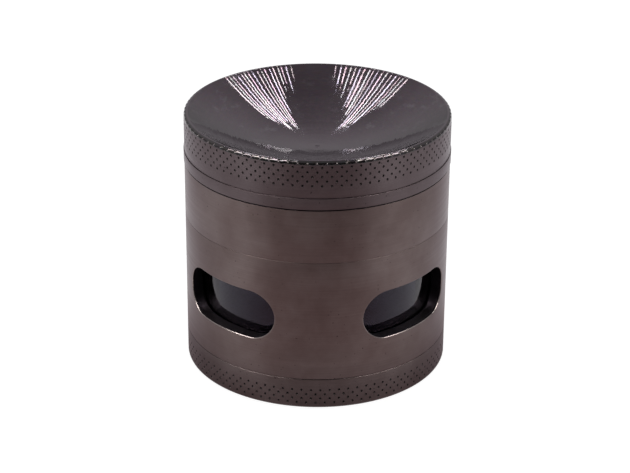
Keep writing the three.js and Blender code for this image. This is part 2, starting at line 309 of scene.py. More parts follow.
def thread_rings(root_r, depth, low, high, seam, start, count, phase=0.0):
    """Level rings up a wall threaded to meet at a seam. depth is positive for a male ridge and negative for a
    female one. The end rings are plain, so that they join the walls beyond."""
    start_z = seam - BASE_TOP + DRUM_LOW + THREAD_START
    angles = phase + np.arange(count) * (2 * math.pi / count)
    levels = np.linspace(low, high, round(abs(high - low) / 0.12))
    rings = []
    for z in levels:
        height = np.zeros(count)
        for turn in range(-1, 3):
            t = ((angles - start) % (2 * math.pi)) / (2 * math.pi) + turn
            off = np.abs(z - (start_z + THREAD_PITCH * t))
            flank = np.clip((RIDGE_BASE / 2 - off) / (RIDGE_BASE / 2 - RIDGE_TIP / 2), 0, 1)
            fade = np.clip(np.minimum(t, THREAD_TURNS - t) / 0.06, 0, 1)
            height = np.maximum(height, flank * fade)
        if z in (low, high):
            height[:] = 0
        rings.append(ring(root_r + depth * height, z, count, phase))
    return rings


CELL_BORDER = [(-1, -1), (0, -1), (1, -1), (1, 0), (1, 1), (0, 1), (-1, 1), (-1, 0)]
PLAIN_CELL = [(0, 1, 8, 7), (1, 2, 3, 8), (8, 3, 4, 5), (7, 8, 5, 6)]
PIT_TIP = [(k, (k + 1) % 8, 8) for k in range(8)]


def knurl(shell, surface, rows, odd, pits):
    """Staggered rows of conical pits in a wall of FINE segments. surface(s) gives the wall's (r, z) and its
    outward normal (nr, nz) at a length s up it. rows holds the lengths of the row centres, and pits the
    share of the usual size, the depth and the material index of the pits in each row."""
    half = 2 * math.pi / FINE

    def point(angle, s, sink=0.0):
        r, z, nr, nz = surface(s)
        return around(r - sink * nr, angle, z - sink * nz)

    def pit_loop(centre, row, size, sink):
        points = []
        for u, v in CELL_BORDER:
            a = math.atan2(v, u)
            across = PIT_R * size * math.cos(a) / BODY_R
            points.append(point(centre + across, row + PIT_STRETCH * PIT_R * size * math.sin(a), sink))
        return points

    for j, (row, (width, depth, mark)) in enumerate(zip(rows, pits)):
        for i in range(FINE // 2):
            centre = FRONT_ANGLE + 2 * half * i
            border = [point(centre + u * half, row + v * KNURL_PITCH / 2) for u, v in CELL_BORDER]
            if (i + j + odd) % 2:
                shell.add(border + [point(centre, row)], PLAIN_CELL)
                continue
            lip = pit_loop(centre, row, width, 0.0)
            low = pit_loop(centre, row, 0.3 * width, depth)
            shell.skin([border, lip])
            shell.skin([lip, pit_loop(centre, row, 0.85 * width, 0.4 * depth), low], mark=mark)
            shell.add(low + [point(centre, row, 1.1 * depth)], PIT_TIP, mark=mark)


# ---- Pieces -------------------------------------------------------------------------------------
# Material indices. The numbers after METAL mean something else in each piece.
METAL, PIT, DISH = 0, 1, 2
CUT, INSIDE, BEVEL = 1, 2, 3
TICK, LID_PIT, RIM = 1, 3, 4


def mark_where(mesh, test, mark):
    """Gives a material index to the plain faces whose centre passes test(radius, z), both in millimetres."""
    for face in mesh.polygons:
        x, y, z = face.center / MM
        if face.material_index == METAL and test(math.hypot(x, y), z):
            face.material_index = mark
    return mesh


def catcher_base():
    """The knurled outside, the threaded socket and the bowl."""
    shell = Shell()
    rows = [BASE_ROW + KNURL_PITCH * i for i in range(4)]
    low, high = rows[0] - KNURL_PITCH / 2, rows[-1] + KNURL_PITCH / 2
    ledge = BASE_TOP + SEAM / 2 - SOCKET_DEPTH
    socket_top = BASE_TOP - 0.25
    foot = rounded([(0, 0), (BODY_R, 0, 0.5), (BODY_R, low)], 5)
    shell.turn(foot, FINE, FRONT_ANGLE)
    knurl(shell, lambda s: (BODY_R, s, 1, 0), rows, 0, [(1, PIT_DEPTH, PIT)] * 4)
    lip = rounded([(BODY_R, high), (BODY_R, BASE_TOP, 0.12), (SOCKET_R, BASE_TOP, 0.2),
                   (SOCKET_R, socket_top)])
    shell.turn(lip, FINE, FRONT_ANGLE)
    shell.skin(thread_rings(SOCKET_R, -THREAD_DEPTH, socket_top, ledge, BASE_TOP, math.pi, FINE,
                            FRONT_ANGLE))
    bowl = rounded([(SOCKET_R, ledge), (BOWL_R, ledge, 0.15), (BOWL_R, BOWL_FLOOR, 2.2), (0, BOWL_FLOOR)], 8)
    shell.turn(bowl, FINE, FRONT_ANGLE)
    return shell.mesh("catcher_base")


def slot_share(share, end_r):
    """The (y, z) point at a share of the way round the first quarter of a window's outline."""
    arc = end_r * math.pi / 2
    along = share * (arc + WINDOW_STRAIGHT)
    if along > arc:
        return WINDOW_STRAIGHT - (along - arc), end_r
    return WINDOW_STRAIGHT + end_r * math.cos(along / end_r), end_r * math.sin(along / end_r)


def quarter_points(first_quarter):
    """The whole loop from the points of its first quarter, whose first point is at +y and last at +z."""
    q = first_quarter
    second = [(-y, z) for y, z in reversed(q[1:])]
    third = [(-y, -z) for y, z in q[:-1]]
    fourth = [(y, -z) for y, z in reversed(q[1:])]
    return q[:-1] + second + third + fourth


def window_patch(shell, facing, half_angle, half_height, across, up):
    """The wall round one window: from a rectangle on the outside, over the bevelled edge, through the slot
    and out to the same rectangle on the inside."""
    edge = [(half_angle * BODY_R, half_height * k / up) for k in range(up)]
    edge += [(half_angle * BODY_R * (1 - k / across), half_height) for k in range(across + 1)]
    length = half_height + half_angle * BODY_R
    shares = [(z if u == edge[0][0] else half_height + edge[0][0] - u) / length for u, z in edge]

    def outline(grow):
        return [slot_share(share, WINDOW_END_R + grow) for share in shares]

    def on_wall(radius, grow, weight):
        loop = []
        for (y, z), (u, v) in zip(outline(grow), edge):
            angle = (1 - weight) * math.asin(y / radius) + weight * u / BODY_R
            loop.append((angle, (1 - weight) * z + weight * v))
        return [around(radius, a + facing, WINDOW_Z + z) for a, z in quarter_points(loop)]

    def in_slot(grow, depth):
        """A loop at a depth in from the outside, straight along the way the window faces."""
        points = []
        for y, z in quarter_points(outline(grow)):
            x = math.sqrt(BODY_R**2 - y**2)
            x -= depth * (x - math.sqrt(DRUM_BORE_R**2 - y**2))
            points.append((x * math.cos(facing) - y * math.sin(facing),
                           x * math.sin(facing) + y * math.cos(facing), WINDOW_Z + z))
        return points

    wall = BODY_R - DRUM_BORE_R
    loops = [on_wall(BODY_R, WINDOW_BEVEL, w) for w in (1, 0.8, 0.6, 0.42, 0.26, 0.12, 0.04, 0)]
    for k in range(1, 5):
        a = k * math.pi / 8
        loops.append(in_slot(WINDOW_BEVEL * (1 - math.sin(a)), WINDOW_BEVEL * (1 - math.cos(a)) / wall))
    loops += [in_slot(0, depth) for depth in (0.16, 0.35, 0.6, 0.85, 0.96)]
    loops.append(in_slot(0.1, 1.0))
    loops += [on_wall(DRUM_BORE_R, 0.1, w) for w in (0.1, 0.4, 0.7, 1)]
    shell.skin(loops)


def window_drum():
    """The threaded socket, the wall with its four windows, the shelf and the threaded spigot."""
    shell = Shell()
    step = 2 * math.pi / SMOOTH
    across, up = 24, 8
    half_angle, half_height = across * step, 9.6
    low, high = WINDOW_Z - half_height, WINDOW_Z + half_height
    ledge = DRUM_TOP + SEAM / 2 - SOCKET_DEPTH
    socket_top = DRUM_TOP - 0.25
    shoulder = BASE_TOP + SEAM
    thread_low = DRUM_LOW + 0.25

    shell.turn(rounded([(BODY_R, high), (BODY_R, DRUM_TOP, 0.05), (SOCKET_R, DRUM_TOP, 0.2),
                        (SOCKET_R, socket_top)]), SMOOTH)
    shell.skin(thread_rings(SOCKET_R, -THREAD_DEPTH, socket_top, ledge, DRUM_TOP, math.pi, SMOOTH))
    shell.turn(rounded([(SOCKET_R, ledge), (DRUM_BORE_R, ledge, 0.15), (DRUM_BORE_R, high)]), SMOOTH)
    for k in range(4):
        facing = k * math.pi / 2
        window_patch(shell, facing, half_angle, half_height, across, up)
        gap = [facing + half_angle + i * step for i in range(SMOOTH // 4 - 2 * across + 1)]
        for radius in (BODY_R, DRUM_BORE_R):
            levels = [low + half_height * j / up for j in range(2 * up + 1)]
            shell.skin([[around(radius, a, z) for a in gap] for z in levels], wrap=False)
    shell.turn(rounded([(BODY_R, low), (BODY_R, shoulder, 0.1), (THREAD_ROOT_R, shoulder)]), SMOOTH)
    shell.skin(thread_rings(THREAD_ROOT_R, THREAD_DEPTH, shoulder, thread_low, BASE_TOP, 0, SMOOTH))
    shell.turn(rounded([(THREAD_ROOT_R, thread_low), (THREAD_ROOT_R, DRUM_LOW, 0.2),
                        (SPIGOT_BORE_R, DRUM_LOW, 0.2), (SPIGOT_BORE_R, SHELF_LOW), (SHELF_R, SHELF_LOW, 0.2),
                        (SHELF_R, SHELF_TOP, 0.2), (DRUM_BORE_R, SHELF_TOP, 0.3), (DRUM_BORE_R, low)]),
               SMOOTH)
    return shell.mesh("window_drum")


def hoop(name, inner, outer, low, high, fillet):
    shell = Shell()
    shell.turn(ring_section(inner, outer, low, high, fillet), SMOOTH)
    return shell.mesh(name)


def peg(shell, x, y, turn, low, high, up):
    """A rhombic tooth with eased edges from low to high, whose tip is the high end when up is 1."""
    corners = [(TOOTH_DEPTH / 2, 0), (0, TOOTH_WIDTH / 2), (-TOOTH_DEPTH / 2, 0), (0, -TOOTH_WIDTH / 2)]
    outline = rounded([(a, b, TOOTH_EDGE) for a, b in corners], 3, closed=True)[:-1]
    root, tip = (low, high) if up > 0 else (high, low)
    loops = []
    for scale, z in ((1, root), (1, tip - up * TOOTH_EDGE), (0.965, tip - up * 0.07), (0.88, tip)):
        loops.append([(x + scale * (a * math.cos(turn) - b * math.sin(turn)),
                       y + scale * (a * math.sin(turn) + b * math.cos(turn)), z) for a, b in outline])
    shell.rod(loops)


def spread(rings, make):
    """Calls make(x, y, angle) at each place in rings of (radius, count, first angle in degrees)."""
    for radius, count, first in rings:
        for i in range(count):
            angle = math.radians(first + 360 * i / count)
            x, y, _ = around(radius, angle, 0)
            make(x, y, angle)


def grinding_chamber():
    """The threaded spigot and the cup, drilled through its floor and joined to its teeth."""
    shell = Shell()
    shoulder = DRUM_TOP + HAIRLINE
    thread_low = CHAMBER_LOW + 0.25
    pocket = MAGNET_R + 0.1
    shell.turn(rounded([(0, FLOOR_LOW), (SPIGOT_BORE_R, FLOOR_LOW, 0.5), (SPIGOT_BORE_R, CHAMBER_LOW, 0.2),
                        (THREAD_ROOT_R, CHAMBER_LOW, 0.2), (THREAD_ROOT_R, thread_low)]), SMOOTH)
    shell.skin(thread_rings(THREAD_ROOT_R, THREAD_DEPTH, thread_low, shoulder, DRUM_TOP, 0, SMOOTH))
    shell.turn(rounded([(THREAD_ROOT_R, shoulder), (BODY_R, shoulder, 0.05), (BODY_R, CHAMBER_TOP, 0.05),
                        (CHAMBER_BORE_R, CHAMBER_TOP, 0.2), (CHAMBER_BORE_R, FLOOR_TOP, 1.0),
                        (CHAMBER_BORE_R - 2.1, FLOOR_TOP), (POST_R + 0.9, FLOOR_TOP),
                        (POST_R, FLOOR_TOP, 0.4), (POST_R, MAGNET_TOP, 0.3), (pocket, MAGNET_TOP, 0.1),
                        (pocket, MAGNET_LOW), (0, MAGNET_LOW)], 4), SMOOTH)
    drill = Shell()
    sink = 0.25
    bit = [(0, FLOOR_LOW - 1), (HOLE_R + sink + 1, FLOOR_LOW - 1), (HOLE_R, FLOOR_LOW + sink),
           (HOLE_R, FLOOR_TOP - sink), (HOLE_R + sink + 1, FLOOR_TOP + 1), (0, FLOOR_TOP + 1)]
    spread(HOLES, lambda x, y, angle: drill.skin([ring(r, z, 32) + (x, y, 0) for r, z in bit]))
    teeth = Shell()
    root, tip = FLOOR_TOP - ROOTED, PLATE_LOW - TIP_GAP
    spread(CHAMBER_TEETH, lambda x, y, angle: peg(teeth, x, y, angle, root, tip, 1))
    cup = combine(shell.mesh("cup"), drill.mesh("drill"), "DIFFERENCE")
    return combine(cup, teeth.mesh("teeth"), "UNION")


def tooth_plate():
    """The lid's lower half, hollow above for the dish of the cap, and its teeth."""
    shell = Shell()
    low, high = CHAMBER_TOP + LID_GAP, CAP_LOW - HAIRLINE
    pocket = MAGNET_R + 0.1
    post_low = LID_MAGNET_LOW - 0.1
    pocket_top = post_low + 2.1
    below = DISH_T + 0.3
    recess = DISH_R * math.sqrt(1 - (CAP_TOP - below - high) / DISH_DEPTH)
    shoulder_in = SHOULDER_R - SHOULDER_W
    corners = [(0, pocket_top), (pocket, pocket_top), (pocket, post_low, 0.1), (POST_R, post_low, 0.3),
               (POST_R, PLATE_LOW, 0.4), (NECK_R, PLATE_LOW, 0.3), (NECK_R, GLIDE_LOW - 0.1, 0.1),
               (GROOVE_R, GLIDE_LOW - 0.1), (GROOVE_R, low), (FLANGE_R, low, 0.05), (FLANGE_R, high, 0.05),
               (SHOULDER_R, high), (SHOULDER_R, SHOULDER_TOP, 0.2), (shoulder_in, SHOULDER_TOP, 0.2),
               (shoulder_in, high)]
    shell.turn(rounded(corners, 4) + dish_points(recess, 0, below, 8), SMOOTH)
    teeth = Shell()
    spread(LID_TEETH, lambda x, y, angle: peg(teeth, x, y, angle, TEETH_LOW, PLATE_LOW + ROOTED, -1))
    return combine(shell.mesh("plate"), teeth.mesh("teeth"), "UNION")


def concave_cap():
    """The lid's upper half: the knurled wall, the rounded rim and the dish."""
    shell = Shell()
    rows = [LID_ROW + KNURL_PITCH * i for i in range(6)]
    low, high = rows[0] - KNURL_PITCH / 2, rows[-1] + KNURL_PITCH / 2
    bend = CAP_TOP - RIM_ROUND

    def wall(s):
        a = max(0, s - bend) / RIM_ROUND
        nr, nz = math.cos(a), math.sin(a)
        return BODY_R - RIM_ROUND + RIM_ROUND * nr, min(s, bend) + RIM_ROUND * nz, nr, nz

    inner_r = 27.5
    skirt_top = dish_height(inner_r) - DISH_T - 1
    under = dish_points(0, inner_r, DISH_T, 16)
    skirt = rounded([under[-1], (SKIRT_R, skirt_top, 0.3), (SKIRT_R, CAP_LOW, 0.15), (BODY_R, CAP_LOW, 0.12),
                     (BODY_R, low)])
    shell.turn(under + skirt[1:], FINE, FRONT_ANGLE)
    knurl(shell, wall, rows, 1, [(1, PIT_DEPTH, LID_PIT)] * 5 + [(0.6, 0.05, TICK)])
    last = RIM_ROUND * math.pi / 2 + bend
    rim = [wall(high + (last - high) * k / 4)[:2] for k in range(5)]
    rim += rounded([rim[-1], (DISH_R, CAP_TOP, 0.12), (DISH_R - 0.7, dish_height(DISH_R - 0.7))], 4)[1:-1]
    shell.turn(rim, FINE, FRONT_ANGLE, mark=DISH)
    shell.turn([rim[-1]] + dish_points(rim[-1][0] - 0.05, 3, 0, 90) + dish_points(2.8, 0, 0, 16),
               FINE, FRONT_ANGLE, mark=DISH)
    return shell.mesh("concave_cap")


def magnet(name, low, high):
    shell = Shell()
    shell.turn(rounded([(0, low), (MAGNET_R, low, 0.2), (MAGNET_R, high, 0.2), (0, high)], 4), SMALL)
    return shell.mesh(name)


def woven_screen():
    """Plain-woven wires, crimped over and under each other, in one ring."""
    shell = Shell()
    middle = (SCREEN_LOW + SCREEN_TOP) / 2
    wire = (SCREEN_TOP - SCREEN_LOW) / 4
    frame_in = SCREEN_R - 0.7
    reach = frame_in + 0.2
    count = int(reach / MESH_PITCH)
    for lay in (0, 1):
        for i in range(-count, count + 1):
            across = i * MESH_PITCH
            half = math.sqrt(max(0.0, reach**2 - across**2))
            steps = int(half / MESH_PITCH)
            if steps < 1:
                continue
            loops = []
            for k in range(-2 * steps, 2 * steps + 1):
                along = k * MESH_PITCH / 2
                wave = wire * math.cos(math.pi * along / MESH_PITCH) * (-1) ** (i + lay)
                loop = []
                for c in range(4):
                    a = (c + 0.5) * math.pi / 2
                    side, lift = across + wire * math.cos(a), middle + wave + wire * math.sin(a)
                    loop.append((along, side, lift) if lay == 0 else (side, along, lift))
                loops.append(loop)
            shell.rod(loops)
    shell.turn(ring_section(frame_in, SCREEN_R, SCREEN_LOW, SCREEN_TOP, 0.1), SMOOTH)
    return shell.mesh("screen_mesh")


def pollen_scraper():
    """A thin rounded triangle with its edges eased."""
    low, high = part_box("pollen_scraper")
    bottom, top = low.z / MM, high.z / MM
    reach = SCRAPER_SIDE / math.sqrt(3) - SCRAPER_CORNER

    def outline(inset, z):
        points = []
        for corner in range(3):
            turn = math.radians(90 + 120 * corner)
            for k in range(13):
                a = turn + math.radians(-60 + 10 * k)
                points.append((reach * math.cos(turn) + (SCRAPER_CORNER - inset) * math.cos(a),
                               reach * math.sin(turn) + (SCRAPER_CORNER - inset) * math.sin(a), z))
        return points

    loops = [outline(0.25, bottom), outline(0, bottom + 0.15), outline(0, top - 0.15), outline(0.25, top)]
    shell = Shell()
    shell.rod(loops)
    return shell.mesh("pollen_scraper")


def split_ring():
    """The spring ring under the screen: a hoop with a gap, its section rounded."""
    low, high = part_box("screen_retaining_ring")
    bottom, top = low.z / MM, high.z / MM
    outer = SPIGOT_BORE_R - 0.1
    half_gap = math.asin(RING_GAP / 2 / outer)
    section = ring_section(outer - RING_W, outer, bottom, top, 0.25)[:-1]
    angles = np.linspace(half_gap, 2 * math.pi - half_gap, SMOOTH)
    shell = Shell()
    shell.rod([[around(r, a, z) for r, z in section] for a in angles])
    return shell.mesh("screen_retaining_ring")


# ---- Materials ----------------------------------------------------------------------------------
QUARTER_TURN = 0.25  # of the highlights' direction


class Nodes:
    """A node tree under construction. A socket given as the value of an input is joined to it."""

    def __init__(self, tree):
        self.tree = tree

    def node(self, kind, inputs=None, **settings):
        made = self.tree.nodes.new(kind)
        for key, value in settings.items():
            setattr(made, key, value)
        for key, value in (inputs or {}).items():
            self.put(made.inputs[key], value)
        return made

    def put(self, socket, value):
        if isinstance(value, bpy.types.NodeSocket):
            self.tree.links.new(value, socket)
        else:
            socket.default_value = value

    def ramp(self, value, low, high, to_low=0.0, to_high=1.0):
        """The value carried from one range to another, held at its ends."""
        return self.node("ShaderNodeMapRange", {"Value": value, "From Min": low, "From Max": high,
                                                "To Min": to_low, "To Max": to_high}).outputs[0]

    def smooth(self, value, low, high):
        """0 to 1 between two values, eased at both ends."""
        return self.node("ShaderNodeMapRange", {"Value": value, "From Min": low, "From Max": high},
                         interpolation_type="SMOOTHSTEP").outputs[0]

    def mix(self, factor, a, b, blend="MIX"):
        """A blend of two colours."""
        return self.node("ShaderNodeMix", {0: factor, 6: a, 7: b}, data_type="RGBA",
                         blend_type=blend).outputs[2]

    def math(self, operation, a, b=0.0):
        return self.node("ShaderNodeMath", {0: a, 1: b}, operation=operation).outputs[0]

    def vector(self, x, y=0.0, z=0.0):
        return self.node("ShaderNodeCombineXYZ", {0: x, 1: y, 2: z}).outputs[0]

    def parts(self, vector):
        return self.node("ShaderNodeSeparateXYZ", {0: vector}).outputs

    def vectors(self, operation, a, b):
        return self.node("ShaderNodeVectorMath", {0: a, 1: b}, operation=operation).outputs[0]

    def dot(self, a, b):
        return self.node("ShaderNodeVectorMath", {0: a, 1: b}, operation="DOT_PRODUCT").outputs["Value"]

    def noise_at(self, place, scale, detail, roughness=0.55):
        """The outputs of a noise texture: its value and its colour."""
        return self.node("ShaderNodeTexNoise", {"Vector": place, "Scale": scale, "Detail": detail,
                                                "Roughness": roughness}).outputs


class Paint(Nodes):
    """A material with one Principled shader."""

    def __init__(self, name):
        self.material = bpy.data.materials.new(name)
        self.material.use_nodes = True
        super().__init__(self.material.node_tree)
        self.shader = self.tree.nodes["Principled BSDF"]
        self.object = self.node("ShaderNodeTexCoord").outputs["Object"]

    def set(self, **values):
        for key, value in values.items():
            self.put(self.shader.inputs[key.replace("_", " ")], value)

    def noise(self, scale, detail=3.0, stretch=(1, 1, 1), roughness=0.55):
        """Noise of a size given as features per metre, stretched along each axis."""
        moved = self.node("ShaderNodeMapping", {"Vector": self.object, "Scale": stretch})
        return self.noise_at(moved.outputs[0], scale, detail, roughness)[0]

    def turned_lines(self, across, around, detail):
        """Noise in lines round the turning axis, on walls and on level faces alike, from the features per
        metre across the lines and around."""
        place = self.parts(self.object)
        rise = self.math("MULTIPLY", self.math("ADD", self.radius(), place["Z"]), across)
        moved = self.vector(self.math("MULTIPLY", place["X"], around),
                            self.math("MULTIPLY", place["Y"], around), rise)
        return self.noise_at(moved, 1.0, detail)[0]

    def bump(self, height, distance, normal=None):
        """The normal tilted by a height, on top of another bump's if one is given."""
        made = self.node("ShaderNodeBump", {"Height": height, "Distance": distance, "Strength": 1.0})
        if normal is not None:
            self.put(made.inputs["Normal"], normal)
        return made.outputs[0]

    def radius(self):
        """Distance from the turning axis."""
        flat = self.vectors("MULTIPLY", self.object, (1, 1, 0))
        return self.node("ShaderNodeVectorMath", {0: flat}, operation="LENGTH").outputs["Value"]

    def turn_angle(self):
        """Angle round the turning axis."""
        place = self.parts(self.object)
        return self.math("ARCTAN2", place["Y"], place["X"])

    def lean(self, normal, towards, amount):
        """The normal leaned towards a direction."""
        push = self.node("ShaderNodeVectorMath", {0: towards, "Scale": amount}, operation="SCALE").outputs[0]
        return self.vectors("ADD", normal, push)

    def turned_tangent(self):
        """The direction round the turning axis."""
        return self.node("ShaderNodeTangent", direction_type="RADIAL", axis="Z").outputs[0]

    def brushed(self, amount, tint):
        """Spreads the highlights across the turned lines, with a tint at grazing angles."""
        self.put(self.shader.inputs["Tangent"], self.turned_tangent())
        self.shader.inputs["Anisotropic"].default_value = amount
        self.shader.inputs["Anisotropic Rotation"].default_value = QUARTER_TURN
        self.shader.inputs["Specular Tint"].default_value = rgba(*tint)


def rgba(r, g, b):
    return (r, g, b, 1.0)


def turned_metal(name, dark, light, roughness, lines=1.0):
    """Plated metal with fine turned lines round the axis, soft mottling and a few specks."""
    paint = Paint(name)
    fine = paint.turned_lines(5200.0, 60.0, 4.0)
    coarse = paint.turned_lines(1300.0, 25.0, 2.0)
    mottle = paint.noise(95, 4)
    cloud = paint.noise(34, 2)
    specks = paint.noise(1500, 1)
    tone = paint.mix(paint.ramp(mottle, 0.38, 0.66), rgba(*dark), rgba(*light))
    shade = paint.math("MULTIPLY", paint.ramp(fine, 0.25, 0.75, 0.93, 1.07),
                       paint.ramp(cloud, 0.3, 0.7, 0.95, 1.05))
    tone = paint.mix(1.0, tone, paint.vector(shade, shade, shade), "MULTIPLY")
    tone = paint.mix(paint.ramp(specks, 0.74, 0.77), tone, rgba(*[0.5 * c for c in dark]))
    worn = paint.ramp(paint.node("ShaderNodeNewGeometry").outputs["Pointiness"], 0.56, 0.66)
    worn = paint.math("MULTIPLY", worn, paint.ramp(mottle, 0.35, 0.6, 0.2, 0.8))
    tone = paint.mix(worn, tone, rgba(*[1.7 * c for c in light]))
    rough = paint.math("ADD", paint.ramp(coarse, 0.3, 0.7, -0.03, 0.03),
                       paint.ramp(mottle, 0.3, 0.7, -0.03, 0.04))
    rough = paint.math("ADD", rough, roughness)
    normal = paint.bump(fine, 1.2e-6 * lines)
    normal = paint.bump(coarse, 2.5e-6 * lines, normal)
    paint.set(Base_Color=tone, Metallic=1.0, Roughness=rough, Normal=normal)
    paint.brushed(0.75, (0.85, 0.82, 0.85))
    return paint.material


def ringed_metal(name, dark, light, leans, length, roughness, smudges):
    """Bright-turned metal, left by the tool as ring after ring in pieces of a length round the axis, each
    leaning a little differently. leans holds the slopes outward and sideways."""
    paint = Paint(name)
    r = paint.radius()
    tangent = paint.turned_tangent()
    normal = paint.node("ShaderNodeNewGeometry").outputs["Normal"]
    outward = paint.vectors("CROSS_PRODUCT", tangent, normal)
    place_on = paint.vector(paint.math("MULTIPLY", r, 2600.0),
                            paint.math("DIVIDE", paint.turn_angle(), length))
    grooves = paint.noise_at(place_on, 1.0, 2.0, 0.7)[1]
    lean = paint.node("ShaderNodeSeparateColor", {0: grooves}).outputs
    across = paint.ramp(lean[0], 0.25, 0.75, -leans[0], leans[0])
    sideways = paint.ramp(lean[1], 0.25, 0.75, -leans[1], leans[1])
    rings = paint.noise_at(paint.vector(r), 900.0, 3.0, 0.5)[0]
    across = paint.math("ADD", across, paint.ramp(rings, 0.3, 0.7, -0.03, 0.03))
    normal = paint.lean(normal, outward, across)
    normal = paint.lean(normal, tangent, sideways)
    normal = paint.node("ShaderNodeVectorMath", {0: normal}, operation="NORMALIZE").outputs[0]

    mottle = paint.noise(70, 4)
    smudge = paint.noise(230, 5, (1, 1, 1), 0.7)
    tone = paint.mix(paint.ramp(mottle, 0.35, 0.65), rgba(*dark), rgba(*light))
    sheen = paint.mix(0.22, rgba(0.5, 0.5, 0.5), grooves)
    tone = paint.mix(1.0, tone, paint.mix(1.0, sheen, rgba(2, 2, 2), "MULTIPLY"), "MULTIPLY")
    smudged = paint.math("MULTIPLY", paint.ramp(smudge, 0.56, 0.72),
                         paint.ramp(r, 0.006, 0.014, 0.0, smudges))
    tone = paint.mix(smudged, tone, rgba(0.19, 0.18, 0.20))
    rough = paint.math("ADD", paint.ramp(mottle, 0.3, 0.7, -0.01, 0.02),
                       paint.ramp(smudge, 0.5, 0.75, *roughness))
    paint.set(Base_Color=tone, Metallic=1.0, Roughness=rough, Normal=normal)
    paint.brushed(1.0, (1.0, 0.98, 1.0))
    return paint.material


def clear_acrylic():
    """Smoke-tinted acrylic with a little haze and fine scratches."""
    paint = Paint("clear_acrylic")
    haze = paint.noise(160, 4)
    scratches = paint.noise(1.0, 2, (900, 900, 60))
    paint.set(Base_Color=paint.mix(haze, rgba(0.11, 0.115, 0.165), rgba(0.085, 0.09, 0.13)),
              Roughness=paint.ramp(haze, 0.4, 0.75, 0.015, 0.09), Normal=paint.bump(scratches, 1e-6))
    paint.shader.inputs["IOR"].default_value = 1.35
    paint.shader.inputs["Specular Tint"].default_value = rgba(0.92, 0.77, 1.0)
    paint.shader.inputs["Transmission Weight"].default_value = 1.0
    return paint.material


def grained(name, dark, light, metallic, tone, grain, roughness, relief):
    """A material of uneven tone, with a grain that moves its roughness between two values and stands out by
    the relief. tone and grain each hold a noise's size, detail and stretch."""
    paint = Paint(name)
    fine = paint.noise(*grain)
    paint.set(Base_Color=paint.mix(paint.noise(*tone), rgba(*dark), rgba(*light)), Metallic=metallic,
              Roughness=paint.ramp(fine, 0.3, 0.7, *roughness), Normal=paint.bump(fine, relief))
    return paint.material


body_metal = turned_metal("body_gunmetal", (0.108, 0.079, 0.077), (0.141, 0.110, 0.108), 0.36)
# The base: a darker copy of the body's gunmetal, painted shade standing in for the shade round the foot.
base_shaded_metal = turned_metal("base_shaded_gunmetal", (0.084, 0.063, 0.062), (0.112, 0.088, 0.088), 0.36)
lid_metal = turned_metal("lid_gunmetal", (0.086, 0.066, 0.070), (0.108, 0.086, 0.091), 0.36)
# The faces inside the pieces: a darker copy of the gunmetal, painted shade of the insides.
inner_shaded_metal = turned_metal("inner_shaded_gunmetal", (0.040, 0.032, 0.034), (0.070, 0.058, 0.062), 0.33, 2.0)
# The windows' bevelled edges: a brighter copy of the gunmetal, a painted highlight along the edges.
bevel_highlight_metal = turned_metal("bevel_highlight_gunmetal", (0.17, 0.14, 0.14), (0.33, 0.29, 0.28), 0.24)

# The glossy, almost black walls left by the cutter in the windows.
CHATTER = (1.0, 3, (1400, 1400, 500))
cut_metal = grained("cut_metal", (0.040, 0.034, 0.040), (0.080, 0.068, 0.076), 1.0, (220, 3), CHATTER,
                    (0.28, 0.48), 1.2e-6)
# The bottoms of the knurl's pits, painted near black: painted shade of the hollows.
SPECKLE = (2600, 3)
pits = grained("pit_shade_metal", (0.009, 0.007, 0.007), (0.04, 0.032, 0.032), 0.6, SPECKLE, SPECKLE,
               (0.45, 0.70), 2e-5)
ticks = grained("tick_metal", (0.03, 0.026, 0.028), (0.20, 0.18, 0.18), 1.0, SPECKLE, SPECKLE,
                (0.3, 0.55), 2e-5)

dish = ringed_metal("dish_metal", (0.070, 0.054, 0.065), (0.085, 0.067, 0.079), (0.035, 0.0012), 0.07,
                    (0.045, 0.10), 0.35)
rim_metal = ringed_metal("rim_metal", (0.052, 0.047, 0.049), (0.066, 0.059, 0.061), (0.14, 0.02), 0.03,
                         (0.07, 0.10), 0.0)
acrylic = clear_acrylic()

# Moulded rubber and plastic.
CLOUDY, FINE_GRAIN = (140, 4), (900, 3)
silicone = grained("silicone", (0.012, 0.012, 0.013), (0.03, 0.03, 0.032), 0.0, CLOUDY, FINE_GRAIN,
                   (0.54, 0.68), 6e-6)
nylon = grained("nylon", (0.70, 0.68, 0.62), (0.80, 0.78, 0.73), 0.0, CLOUDY, FINE_GRAIN,
                (0.39, 0.53), 6e-6)
black_plastic = grained("scraper_plastic", (0.018, 0.019, 0.022), (0.032, 0.034, 0.038), 0.0, CLOUDY,
                        FINE_GRAIN, (0.44, 0.58), 6e-6)
# Metal with faint lines round it: bright nickel for the magnets, and steel wire made dark as painted shade of
# the dim inside of the drum.
PATCHY, LINES = (240, 3), (1.0, 3, (90, 90, 2400))
shaded_steel_wire = grained("shaded_steel_wire", (0.055, 0.058, 0.068), (0.10, 0.104, 0.118), 1.0, PATCHY, LINES,
                     (0.36, 0.47), 1.5e-6)
nickel = grained("nickel", (0.66, 0.64, 0.6), (0.78, 0.76, 0.72), 1.0, PATCHY, LINES,
                 (0.12, 0.23), 1.5e-6)

# ---- Assembly -----------------------------------------------------------------------------------
# Faces marked INSIDE take the darker inner copy of the gunmetal, painted shade of the insides.
base = mark_where(catcher_base(), lambda r, z: r < BODY_R - 0.8 and z > 0.5, INSIDE)
place(base, "base_shell", "base", "catcher_base", "gunmetal", [base_shaded_metal, pits, inner_shaded_metal])
drum = mark_where(window_drum(), lambda r, z: r < BODY_R - BEVEL_IN and abs(z - WINDOW_Z) < WINDOW_REACH,
                  CUT)
